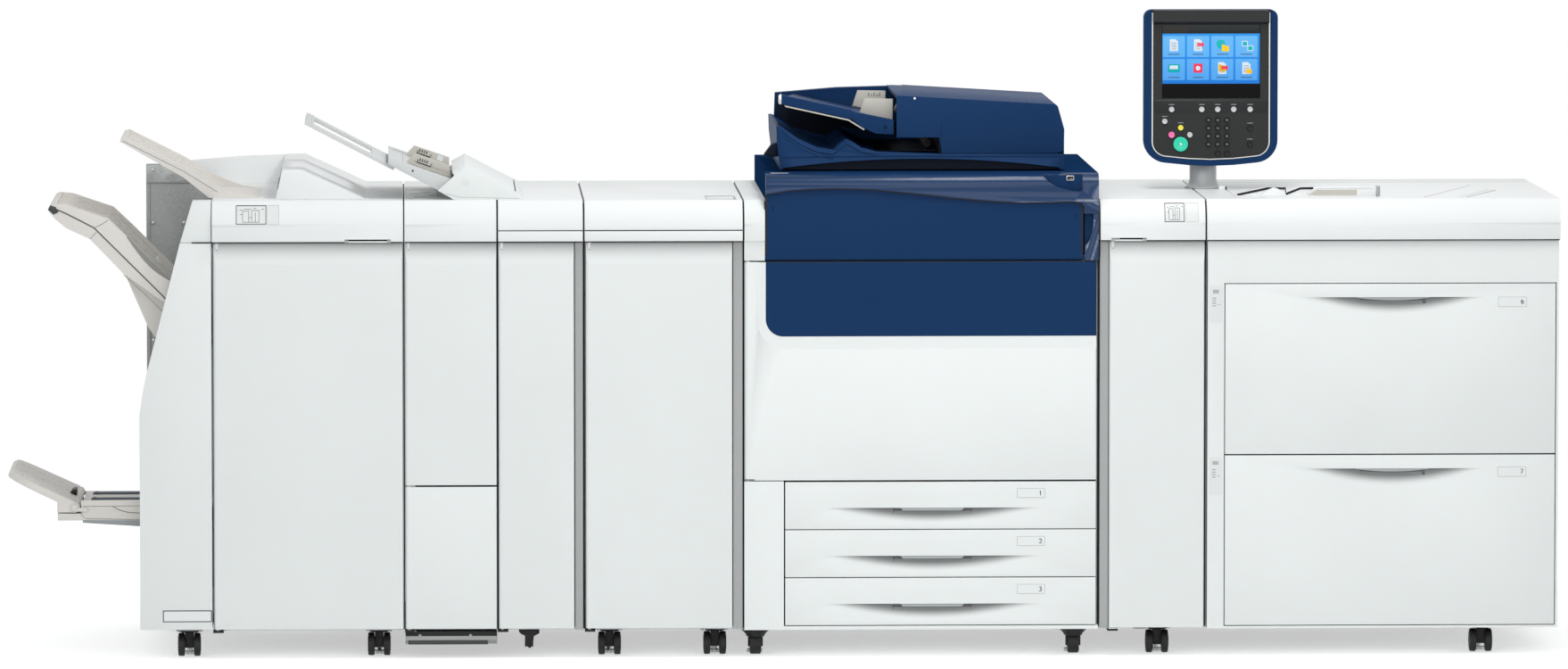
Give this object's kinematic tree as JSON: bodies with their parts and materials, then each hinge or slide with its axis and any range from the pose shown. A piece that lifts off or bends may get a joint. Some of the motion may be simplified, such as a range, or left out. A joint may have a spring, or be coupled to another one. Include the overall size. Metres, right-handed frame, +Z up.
{
  "type": "digital production printer",
  "caption": "Line of docked press modules: finisher, folder, sheet inserter, trimmer, blue-topped print engine with scanner and control panel, and a deep paper feeder.",
  "frame": {"origin": "on the floor under the middle of the line's box", "axes": "+X along the line towards the paper feeder, front faces -Y, +Z up"},
  "size_m": [3.352, 0.744, 1.383],
  "materials": {
    "body_white": "fine moulded texture, satin",
    "tray_beige": "satin moulded plastic",
    "engine_blue": "dark blue, semi-gloss",
    "sheet_metal": "galvanised sheet",
    "black_plastic": "black moulded plastic",
    "wheel_rubber": "black hard rubber tread",
    "glass": "clear float glass",
    "post_silver": "light grey powder coat",
    "face_grey": "dark grey fine texture",
    "screen": "lit display under a smooth film",
    "start_green": "green translucent key",
    "stop_pink": "pink key",
    "key_silver": "silver and black keys"
  },
  "bodies": {
    "press_line": {"finisher_frame": "body_white", "finisher_left_cover": "body_white", "finisher_top_cover": "body_white", "output_hood": "body_white", "finisher_rear_panel": "sheet_metal", "top_output_tray": "tray_beige", "booklet_tray": "tray_beige", "folder_frame": "body_white", "folder_top_cover": "body_white", "inserter_body": "body_white", "inserter_tray": "body_white", "transport_frame": "body_white", "transport_top_cover": "body_white", "trimmer_frame": "body_white", "trimmer_top_cover": "body_white", "engine_frame": "body_white", "toner_cartridges": "black_plastic", "imaging_unit": "sheet_metal", "scanner_housing": "engine_blue", "platen_glass": "glass", "interface_frame": "body_white", "interface_top_cover": "body_white", "feeder_frame": "body_white", "feeder_top_cover": "body_white", "caster_forks": "black_plastic", "levelling_feet": "sheet_metal"},
    "finisher_door": {"finisher_door": "body_white"},
    "stacker_tray": {"stacker_tray": "tray_beige"},
    "booklet_stop": {"booklet_stop": "tray_beige"},
    "folder_upper_door": {"folder_upper_door": "body_white"},
    "folder_lower_door": {"folder_lower_door": "body_white"},
    "inserter_cover": {"inserter_cover": "body_white"},
    "inserter_extension": {"inserter_extension": "body_white"},
    "inserter_front_guide": {"inserter_front_guide": "tray_beige"},
    "inserter_rear_guide": {"inserter_rear_guide": "tray_beige"},
    "transport_door": {"transport_door": "body_white"},
    "trimmer_door": {"trimmer_door": "body_white"},
    "toner_cover": {"toner_cover": "engine_blue"},
    "document_feeder": {"document_feeder": "engine_blue"},
    "feed_cover": {"feed_cover": "engine_blue"},
    "document_tray": {"document_tray": "engine_blue"},
    "document_front_guide": {"document_front_guide": "tray_beige"},
    "document_rear_guide": {"document_rear_guide": "tray_beige"},
    "tray_1": {"tray_1": "body_white"},
    "tray_2": {"tray_2": "body_white"},
    "tray_3": {"tray_3": "body_white"},
    "interface_door": {"interface_door": "body_white"},
    "panel_post": {"panel_post": "post_silver"},
    "start_key": {"start_key": "start_green"},
    "stop_key": {"stop_key": "stop_pink"},
    "panel_keys": {"panel_keys": "key_silver"},
    "upper_drawer": {"upper_drawer": "body_white"},
    "lower_drawer": {"lower_drawer": "body_white"},
    "front_wheels": {"front_wheels": "wheel_rubber"},
    "rear_wheels": {"rear_wheels": "wheel_rubber"},
    "engine_door": {"engine_door": "body_white", "door_panel": "engine_blue"},
    "panel_shell": {"panel_shell": "engine_blue", "panel_face": "face_grey", "touch_screen": "screen"}
  },
  "joints": [
    {"name": "finisher_door_hinge", "type": "hinge", "parent": "press_line", "child": "finisher_door", "pos_m": [-1.221, -0.357, 0.48], "axis": [0, 0, -1], "range_deg": [0, 100]},
    {"name": "folder_upper_door_hinge", "type": "hinge", "parent": "press_line", "child": "folder_upper_door", "pos_m": [-0.809, -0.357, 0.63], "axis": [0, 0, -1], "range_deg": [0, 100]},
    {"name": "folder_lower_door_hinge", "type": "hinge", "parent": "press_line", "child": "folder_lower_door", "pos_m": [-0.809, -0.357, 0.2], "axis": [0, 0, -1], "range_deg": [0, 100]},
    {"name": "transport_door_hinge", "type": "hinge", "parent": "press_line", "child": "transport_door", "pos_m": [-0.608, -0.357, 0.48], "axis": [0, 0, -1], "range_deg": [0, 100]},
    {"name": "trimmer_door_hinge", "type": "hinge", "parent": "press_line", "child": "trimmer_door", "pos_m": [-0.42, -0.357, 0.48], "axis": [0, 0, -1], "range_deg": [0, 100]},
    {"name": "engine_door_hinge", "type": "hinge", "parent": "press_line", "child": "engine_door", "pos_m": [-0.078, -0.357, 0.6], "axis": [0, 0, -1], "range_deg": [0, 100]},
    {"name": "interface_door_hinge", "type": "hinge", "parent": "press_line", "child": "interface_door", "pos_m": [0.709, -0.357, 0.48], "axis": [0, 0, -1], "range_deg": [0, 100]},
    {"name": "toner_cover_hinge", "type": "hinge", "parent": "press_line", "child": "toner_cover", "pos_m": [0.3, -0.356, 0.866], "axis": [1, 0, 0], "range_deg": [0, 80]},
    {"name": "document_feeder_hinge", "type": "hinge", "parent": "press_line", "child": "document_feeder", "pos_m": [0.26, 0.246, 1.062], "axis": [-1, 0, 0], "range_deg": [0, 60]},
    {"name": "feed_cover_hinge", "type": "hinge", "parent": "document_feeder", "child": "feed_cover", "pos_m": [0.592, -0.02, 1.136], "axis": [0, 1, 0], "range_deg": [0, 55]},
    {"name": "document_tray_hinge", "type": "hinge", "parent": "document_feeder", "child": "document_tray", "pos_m": [0.222, -0.03, 1.141], "axis": [0, 1, 0], "range_deg": [0, 15]},
    {"name": "document_front_guide_slide", "type": "slide", "parent": "document_tray", "child": "document_front_guide", "axis": [0, 1, 0], "range_m": [0, 0.14]},
    {"name": "document_rear_guide_slide", "type": "slide", "parent": "document_tray", "child": "document_rear_guide", "axis": [0, -1, 0], "range_m": [0, 0.14]},
    {"name": "tray_1_slide", "type": "slide", "parent": "press_line", "child": "tray_1", "axis": [0, -1, 0], "range_m": [0, 0.5]},
    {"name": "tray_2_slide", "type": "slide", "parent": "press_line", "child": "tray_2", "axis": [0, -1, 0], "range_m": [0, 0.5]},
    {"name": "tray_3_slide", "type": "slide", "parent": "press_line", "child": "tray_3", "axis": [0, -1, 0], "range_m": [0, 0.5]},
    {"name": "upper_drawer_slide", "type": "slide", "parent": "press_line", "child": "upper_drawer", "axis": [0, -1, 0], "range_m": [0, 0.5]},
    {"name": "lower_drawer_slide", "type": "slide", "parent": "press_line", "child": "lower_drawer", "axis": [0, -1, 0], "range_m": [0, 0.5]},
    {"name": "inserter_cover_hinge", "type": "hinge", "parent": "press_line", "child": "inserter_cover", "pos_m": [-0.576, -0.085, 1], "axis": [0, 1, 0], "range_deg": [0, 60]},
    {"name": "inserter_extension_slide", "type": "slide", "parent": "press_line", "child": "inserter_extension", "axis": [-0.887, 0, 0.4618], "range_m": [-0.1, 0]},
    {"name": "inserter_front_guide_slide", "type": "slide", "parent": "press_line", "child": "inserter_front_guide", "axis": [0, -1, 0], "range_m": [-0.1, 0.045]},
    {"name": "inserter_rear_guide_slide", "type": "slide", "parent": "press_line", "child": "inserter_rear_guide", "axis": [0, 1, 0], "range_m": [-0.1, 0.045]},
    {"name": "booklet_stop_hinge", "type": "hinge", "parent": "press_line", "child": "booklet_stop", "pos_m": [-1.531, -0.065, 0.321], "axis": [0, 1, 0], "range_deg": [0, 60]},
    {"name": "stacker_tray_lift", "type": "slide", "parent": "press_line", "child": "stacker_tray", "axis": [0, 0, -1], "range_m": [0, 0.25]},
    {"name": "panel_swivel", "type": "hinge", "parent": "press_line", "child": "panel_post", "pos_m": [0.934, 0.049, 1], "axis": [0, 0, 1], "range_deg": [-40, 40]},
    {"name": "panel_tilt", "type": "hinge", "parent": "panel_post", "child": "panel_shell", "pos_m": [0.934, 0.049, 1.151], "axis": [-1, 0, 0], "range_deg": [0, 25]},
    {"name": "start_key_press", "type": "slide", "parent": "panel_shell", "child": "start_key", "axis": [0, 1, 0], "range_m": [0, 0.0015], "stiffness_N_per_m": 600},
    {"name": "stop_key_press", "type": "slide", "parent": "panel_shell", "child": "stop_key", "axis": [0, 1, 0], "range_m": [0, 0.0015], "stiffness_N_per_m": 600},
    {"name": "panel_keys_press", "type": "slide", "parent": "panel_shell", "child": "panel_keys", "axis": [0, 1, 0], "range_m": [0, 0.0015], "stiffness_N_per_m": 600},
    {"name": "front_wheels_spin", "type": "hinge", "parent": "press_line", "child": "front_wheels", "pos_m": [0, -0.285, 0.0255], "axis": [1, 0, 0], "continuous": true},
    {"name": "rear_wheels_spin", "type": "hinge", "parent": "press_line", "child": "rear_wheels", "pos_m": [0, 0.285, 0.0255], "axis": [1, 0, 0], "continuous": true}
  ],
  "couplings": [
    {"joint": "document_rear_guide_slide", "follows": "document_front_guide_slide", "ratio": 1},
    {"joint": "inserter_rear_guide_slide", "follows": "inserter_front_guide_slide", "ratio": 1}
  ]
}
